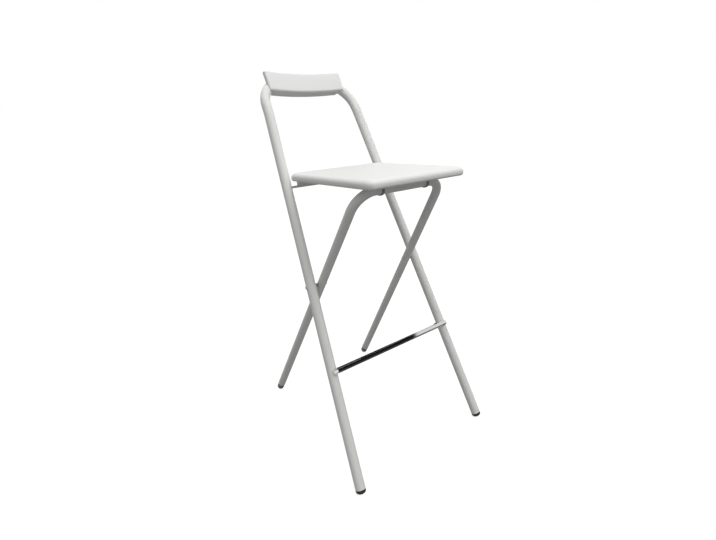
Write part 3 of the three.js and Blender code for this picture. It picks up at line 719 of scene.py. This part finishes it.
backrest = {
    "inset": 0.0162,  # line of the front tubes to the end, at the bar
    "height": 0.054,
    "flare": 0.0015,  # each end reaches this much further out at the top than below
    "rise": -0.0065,  # its middle above the bar
    "front": 0.0185,  # front face from the bar's centre line
    "rear": 0.0132,
    "round": 0.005,  # radius along the top and bottom edges
    "roundShare": 0.95,  # largest radius, for half the depth
    "endFront": 0.0065,  # how far the ends' front edges are rounded
    "endLength": 0.008,  # length of the rounded ends
    "endRise": 0.0006,  # how much lower the ends are
    "endRound": 0.0015,
    "endRear": 0.0195,  # how far the rear face is cut back at the ends
    "endCut": 0.016,  # length of that cut
    "softEdge": 0.0005,
    "slotPast": 0.005,  # the tube's slot runs past the shell
    "screws": 0.090,  # between the two screws
    "screw": {"head": 0.009, "height": 0.0022, "shank": 0.004, "length": 0.026},
}


def backrestPiece():
    # rounded rectangles carried along x and set back by the bow; at the ends the front edge turns
    # in by a quarter turn and the rear face is cut back in a line; x grows with the height
    end = frontHalfAt(frontHoop["top"]) - backrest["inset"]
    length, cutLength = backrest["endLength"], backrest["endCut"]
    angle = np.linspace(math.pi / 2, 0, 13)
    straight = np.linspace(length, cutLength, 9)[1:]
    inset = np.concatenate([length * (1 - np.sin(angle)), straight])
    turnIn = np.concatenate([1 - np.cos(angle), np.zeros(len(straight))])
    cutBack = 1 - inset / cutLength
    middleX = np.linspace(-(end - cutLength), end - cutLength, 42)[1:-1]
    even = np.zeros(len(middleX))
    x = np.concatenate([inset - end, middleX, (end - inset)[::-1]])
    turnIn = np.concatenate([turnIn, even, turnIn[::-1]])
    cutBack = np.concatenate([cutBack, even, cutBack[::-1]])
    front = -backrest["front"] + backrest["endFront"] * turnIn
    rear = backrest["rear"] - backrest["endRear"] * cutBack
    halfHeight = backrest["height"] / 2 - backrest["endRise"] * turnIn
    halfDepth = (rear - front) / 2
    corner = backrest["round"] + (backrest["endRound"] - backrest["round"]) * turnIn
    radius = np.minimum(corner, halfDepth * backrest["roundShare"])
    y, z = cornerOutline(halfDepth, halfHeight, radius, 8)
    y = y + ((front + rear) / 2 + bowAt(x))[:, None]
    wide = 1 + backrest["flare"] / end * z / backrest["height"]
    z = z + frontHoop["top"] + backrest["rise"]
    rings = np.stack([x[:, None] * wide, y, z], axis=-1)
    return skinPiece("backrestShell", onFront(rings), 40.0)


def backrestSlot():
    # the tube's half circle in front and straight walls to the rear, carried along the hoop
    radius = frontRadius + gap
    rear = backrest["rear"] + backrest["slotPast"]
    angle = np.linspace(-math.pi / 2, math.pi / 2, 25)
    ahead = np.concatenate([radius * np.cos(angle), [-rear, -rear]])
    across = np.concatenate([radius * np.sin(angle), [radius, -radius]])
    low = frontHoop["top"] - frontHoop["bowStart"] - backrest["slotPast"]
    line = frontLine[frontLine[:, 2] >= low]
    along, forward, side = lineFrames(line)
    ahead, across = ahead[None, :, None], across[None, :, None]
    rings = line[:, None] + ahead * forward[:, None] + across * side[:, None]
    return skinPiece("backrestSlot", onFront(rings), 40.0, flip=True)


backrestShell = softened(carved(backrestPiece(), backrestSlot()), backrest["softEdge"], 50.0)
settled(backrestShell, "plastic", "frame", "backrest_panel")
for side, sign in sides:
    x = sign * backrest["screws"] / 2
    slope = -2 * frontHoop["bow"] * x / frontHoop["bowHalf"] ** 2
    forward = np.array([slope, -1.0, 0.0]) / math.hypot(slope, 1.0)
    spot = np.array([x, bowAt(x), frontHoop["top"]]) - forward * (frontRadius + gap)
    direction = aboutX(forward, -stance["frontLean"])
    screw = screwPiece(f"backrestScrew_{side}", onFront(spot), direction, **backrest["screw"])
    settled(screw, "steel", "frame", f"backrest_screw_{side}")

print("seat")

seat = {
    "width": 0.296,
    "length": 0.3275,
    "overhang": 0.0625,  # seat bar to the front edge
    "thickness": 0.0205,
    "crown": 0.003,
    "corner": 0.018,  # radius in plan
    "topRound": 0.013,  # how far in and down the top edge is rounded
    "topRoundHeight": 0.012,
    "bottomRound": 0.006,
    "skin": 0.004,  # left above the wells
    "rim": 0.017,  # the wells' distance from the outline
    "rib": 0.004,
    "columns": 4,
    "rows": 4,
    "barPad": 0.028,  # solid strip over the seat bar, each way
    "rearPad": 0.022,  # solid strip in front of the cross rod
    "barPlay": 0.00045,  # seat bar to the seat's underside
}
well = {
    "draft": np.array([-0.0002, 0.0004, 0.0014]),  # narrower by this at its mouth, edge and roof
    "past": 0.004,  # how far it runs out below the seat
    "roofRound": 0.001,
    "corner": 0.003,
}
saddle = {
    "height": 0.0124,  # cross rod to the seat's underside
    "length": 0.056,
    "inset": 0.022,  # from the seat's side
    "front": 0.011,  # in front of the rod's centre
    "back": 0.003,  # thickness of the lip behind the rod
    "grip": 0.0013,  # how deep the rod lies in it
    "lip": 0.002,  # lip below the rod's centre
    "root": 0.003,  # how far it reaches up into the seat
}
# the bar and the rod, to the rear of the pivot and above it
barSpot = np.array([-math.sin(stance["rearLean"]), math.cos(stance["rearLean"])])
barSpot *= rearHoop["top"]
rodSpot = np.array([math.sin(stance["frontLean"]), math.cos(stance["frontLean"])])
rodSpot *= small["rodReach"]
underside = rearRadius + seat["barPlay"]
rodDrop = small["rod"] / 2 + saddle["height"] - underside
barToRod = float(np.linalg.norm(barSpot - rodSpot))
rodSlope = math.atan2(barSpot[1] - rodSpot[1], rodSpot[0] - barSpot[0])
seatSlope = rodSlope - math.asin(rodDrop / barToRod)
rodY = math.sqrt(barToRod**2 - rodDrop**2)
seatHalf = seat["width"] / 2
seatFront = -seat["overhang"]
seatRear = seat["length"] - seat["overhang"]


def onSeat(points):
    return aboutX(points, -seatSlope) + seatSpot


def seatShell():
    # rounded rectangles from the underside's edge over the rounded sides, then inwards; the crown
    # rises as one minus x squared times one minus y squared
    halfLength = seat["length"] / 2
    angle = np.linspace(0, math.pi / 2, 13)
    inset = np.concatenate([
        seat["bottomRound"] * (1 - np.sin(angle)),
        seat["topRound"] * (1 - np.cos(angle)),
    ])
    level = np.concatenate([
        seat["bottomRound"] * (1 - np.cos(angle)),
        seat["thickness"] - seat["topRoundHeight"] * (1 - np.sin(angle)),
    ])
    left = 1 - np.linspace(0, 0.985, 30)[1:]  # shares of the flat part, down to a small middle
    halfX = np.concatenate([seatHalf - inset, (seatHalf - seat["topRound"]) * left])
    halfY = np.concatenate([halfLength - inset, (halfLength - seat["topRound"]) * left])
    radius = np.concatenate([seat["corner"] - inset, (seat["corner"] - seat["topRound"]) * left])
    level = np.concatenate([level, np.full(len(left), seat["thickness"])])
    x, y = cornerOutline(halfX, halfY, radius, 10)
    u = np.clip(np.abs(x) / (seatHalf - seat["topRound"]), 0, 1)
    v = np.clip(np.abs(y) / (halfLength - seat["topRound"]), 0, 1)
    rise = seat["crown"] * (1 - u**2) * (1 - v**2)
    z = underside + level[:, None] + rise * (level[:, None] > seat["thickness"] - 1e-6)
    y = y + (seatFront + seatRear) / 2
    return skinPiece("seatShell", onSeat(np.stack([x, y, z], axis=-1)), 40.0)


def pocketPieces(lowY, highY, rows):
    # drafted wells between the ribs: a rounded rectangle that narrows towards its roof
    lowX = -(seatHalf - seat["rim"])
    pitchX = (-2 * lowX + seat["rib"]) / seat["columns"]
    pitchY = (highY - lowY + seat["rib"]) / rows
    roof = underside + seat["thickness"] - seat["skin"]
    wells = []
    for column in range(seat["columns"]):
        for row in range(rows):
            halfX = (pitchX - seat["rib"]) / 2
            halfY = (pitchY - seat["rib"]) / 2
            x = lowX + column * pitchX + halfX
            y = lowY + row * pitchY + halfY
            draft = well["draft"]
            level = np.array([underside - well["past"], roof - well["roofRound"], roof])
            outX, outY = cornerOutline(halfX - draft, halfY - draft, well["corner"] - draft, 4)
            z = np.broadcast_to(level[:, None], outX.shape)
            rings = np.stack([outX + x, outY + y, z], axis=-1)
            wells.append(skinPiece("well", onSeat(rings)))
    return wells


def acrossPiece(name, outline, lowX, highX):
    # an outline of y and z points in the seat's axes, the same at both ends of its span in x
    outline = np.asarray(outline, float)
    rings = [np.column_stack([np.full(len(outline), x), outline]) for x in (lowX, highX)]
    return skinPiece(name, onSeat(np.stack(rings)), 35.0)


def saddlePiece(sign):
    # a block under the seat, the same all along x: straight lines, and an arc of the rod's radius
    # plus the gap for the groove
    groove = small["rod"] / 2 + gap
    low = -rodDrop + small["rod"] / 2 - saddle["grip"]
    start = math.asin((low + rodDrop) / groove)
    angle = np.linspace(math.pi - start, 0, 17)
    bow = np.stack([rodY + groove * np.cos(angle), -rodDrop + groove * np.sin(angle)], axis=-1)
    high = underside + saddle["root"]
    outline = np.concatenate([
        [[rodY - saddle["front"], high], [rodY - saddle["front"], underside - gap]],
        [[rodY - groove * math.cos(start) - saddle["grip"], low]],
        bow,
        [[rodY + groove, -rodDrop - saddle["lip"]]],
        [[rodY + groove + saddle["back"] / 2, -rodDrop - saddle["lip"]]],
        [[rodY + groove + saddle["back"], -rodDrop], [rodY + groove + saddle["back"], high]],
    ])
    outer = sign * (seatHalf - saddle["inset"])
    inner = sign * (seatHalf - saddle["inset"] - saddle["length"])
    return acrossPiece("saddle", outline, min(inner, outer), max(inner, outer))


wells = pocketPieces(seatFront + seat["rim"], -seat["barPad"], 1)
wells += pocketPieces(seat["barPad"], rodY - seat["rearPad"], seat["rows"])
seatBody = carved(seatShell(), joined("wells", wells))
seatPiece = joined("seatPanel", [seatBody] + [saddlePiece(sign) for side, sign in sides])
settled(seatPiece, "plastic", "seat", "seat_panel")

clip = {
    "centre": 0.070,  # middle of the stool to the clip's middle
    "width": 0.0065,
    "wall": 0.002,
    "flange": 0.010,
    "softEdge": 0.0003,
    "screw": {"head": 0.006, "height": 0.0018, "shank": 0.003, "length": 0.0136},
}
clipInner = rearRadius + gap
clipOuter = clipInner + clip["wall"]
clipTop = underside - gap
clipEnd = clipOuter + clip["flange"]


def clipOutline():  # two half circles below the bar, and flanges level with the seat's underside
    down = np.linspace(math.pi, 2 * math.pi, 25)
    outer = np.stack([clipOuter * np.cos(down), clipOuter * np.sin(down)], axis=-1)
    back = -np.linspace(0, math.pi, 25)
    inner = np.stack([clipInner * np.cos(back), clipInner * np.sin(back)], axis=-1)
    low = clipTop - clip["wall"]
    return np.concatenate([
        [[-clipEnd, clipTop], [-clipEnd, low], [-clipOuter, low]],
        outer,
        [[clipOuter, low], [clipEnd, low], [clipEnd, clipTop], [clipInner, clipTop]],
        inner,
        [[-clipInner, clipTop]],
    ])


for side, sign in sides:
    x = sign * clip["centre"]
    low, high = x - clip["width"] / 2, x + clip["width"] / 2
    strap = acrossPiece(f"seatClip_{side}", clipOutline(), low, high)
    settled(softened(strap, clip["softEdge"]), "dark", "seat", f"seat_clip_{side}")
    for end, way in [("front", -1), ("rear", 1)]:
        spot = onSeat([x, way * (clipOuter + clip["flange"] / 2), clipTop - clip["wall"] - gap])
        direction = aboutX([0.0, 0.0, 1.0], -seatSlope)
        screw = screwPiece(f"seatClipScrew_{side}_{end}", spot, direction, **clip["screw"])
        settled(screw, "steel", "seat", f"seat_clip_screw_{side}_{end}")

print("floor, light and camera")

studio = {
    "floorTone": 0.21,  # what the floor gives back to the stool
    "floorSeen": 0.22,  # what the camera sees of the floor's own tone
    "floorShine": 0.90,  # own light of the floor that the camera sees
    "floorHalf": 30.0,
    "floorDrop": 0.0004,
    "world": 0.45,
    "target": (0.0, 0.0, 0.5),  # the lamps point here
    "keySpot": (1.1, -2.3, 4.8),
    "keySize": 2.8,
    "keyPower": 77.0,
    "topSpot": (0.2, 0.2, 6.0),
    "topSize": 3.6,
    "topPower": 128.0,
}
# what the metal mirrors, as places from left to right with their light
panels = {
    "level": [(0.0, 0.9), (0.456, 0.9), (0.464, 0.01), (0.624, 0.01), (0.630, 0.8), (1.0, 0.8)],
    "below": [(0.0, 0.6), (0.45, 0.6), (0.47, 0.05), (0.62, 0.05), (0.63, 0.17), (1.0, 0.17)],
    "turnDown": [(0.02, 0.0), (0.15, 1.0)],  # share of below, by how far down the ray points
}


def floorPiece():
    half, drop = studio["floorHalf"], -studio["floorDrop"]
    points = [[-half, -half, drop], [half, -half, drop], [half, half, drop], [-half, half, drop]]
    floor = meshPiece("floor", points, [[0, 1, 2, 3]])
    paint = Paint("paleFloor")
    seen = paint.node("ShaderNodeLightPath", out="Is Camera Ray")
    plain = paint.node("ShaderNodeBsdfDiffuse", None, {"Color": tone(studio["floorTone"])})
    soft = paint.node("ShaderNodeBsdfDiffuse", None, {"Color": tone(studio["floorSeen"])})
    shine = {"Color": tone(1.0), "Strength": studio["floorShine"]}
    glow = paint.node("ShaderNodeEmission", None, shine)
    pale = paint.node("ShaderNodeAddShader", None, {0: soft, 1: glow})
    shown = paint.node("ShaderNodeMixShader", None, {0: seen, 1: plain, 2: pale})
    floor.data.materials.append(paint.show(shown))
    floor.visible_glossy = False


def placed(holder, right, up, back, spot):  # an object by its axes and its place
    rows = [[right[i], up[i], back[i], spot[i]] for i in range(3)]
    holder.matrix_world = Matrix(rows + [[0, 0, 0, 1]])
    bpy.context.scene.collection.objects.link(holder)
    return holder


def areaLamp(name, spot, size, power):
    lamp = bpy.data.lights.new(name, "AREA")
    lamp.shape = "DISK"
    lamp.size = size
    lamp.energy = power
    right, up, back = axesFor(np.array(spot) - np.array(studio["target"]))
    holder = placed(bpy.data.objects.new(name, lamp), right, up, back, spot)
    holder.visible_glossy = False  # the chrome shows the studio's panels, not the lamps


def studioWorld():
    world = bpy.data.worlds.new("studio")
    world.use_nodes = True
    bpy.context.scene.world = world
    paint = Paint("studio", world.node_tree)
    path = paint.node("ShaderNodeLightPath", out="Is Camera Ray")
    shine = paint.node("ShaderNodeLightPath", out="Is Glossy Ray")
    way = paint.node("ShaderNodeTexCoord", out="Generated")
    across = paint.node("ShaderNodeSeparateXYZ", None, {0: way}, out=0)
    down = 0.0 - paint.node("ShaderNodeSeparateXYZ", None, {0: way}, out=2)
    level = paint.ramp(across, panels["level"])
    below = paint.ramp(across, panels["below"])
    mirror = paint.mix(paint.ramp(down, panels["turnDown"]), level, below)
    light = {"Color": tone(1.0), "Strength": studio["world"]}
    even = paint.node("ShaderNodeBackground", None, light)
    mirrored = paint.node("ShaderNodeBackground", None, {"Color": mirror, "Strength": 1.0})
    white = paint.node("ShaderNodeBackground", None, {"Color": tone(1.0), "Strength": 1.0})
    inside = paint.node("ShaderNodeMixShader", None, {0: shine, 1: even, 2: mirrored})
    shown = paint.node("ShaderNodeMixShader", None, {0: path, 1: inside, 2: white})
    paint.show(shown, "ShaderNodeOutputWorld")


view = {
    "turn": -38.174,  # degrees about the vertical, from straight in front
    "down": 22.626,
    "focal": 21.912,
    "sensor": 36.0,
    "x": -0.6987,  # the camera's place
    "ahead": 0.8523,  # in front of the pivot
    "height": 0.9036,
    "imageWidth": 716,
    "shiftX": -0.6,  # in pixels
    "shiftY": 0.8,
}


def placeCamera():
    camera = bpy.data.cameras.new("camera")
    camera.sensor_fit = "HORIZONTAL"
    camera.sensor_width = view["sensor"]
    camera.lens = view["focal"]
    camera.shift_x = view["shiftX"] / view["imageWidth"]
    camera.shift_y = view["shiftY"] / view["imageWidth"]
    turn, down = math.radians(view["turn"]), math.radians(view["down"])
    level = math.cos(down)
    back = np.array([math.sin(turn) * level, -math.cos(turn) * level, math.sin(down)])
    right = np.array([math.cos(turn), math.sin(turn), 0.0])
    up = np.cross(back, right)
    spot = [view["x"], pivotSpot[1] - view["ahead"], view["height"]]
    holder = placed(bpy.data.objects.new("camera", camera), right, up, back, spot)
    bpy.context.scene.camera = holder


floorPiece()
areaLamp("keyLamp", studio["keySpot"], studio["keySize"], studio["keyPower"])
areaLamp("topLamp", studio["topSpot"], studio["topSize"], studio["topPower"])
studioWorld()
placeCamera()
bpy.context.scene.view_settings.view_transform = "Standard"

print("done")
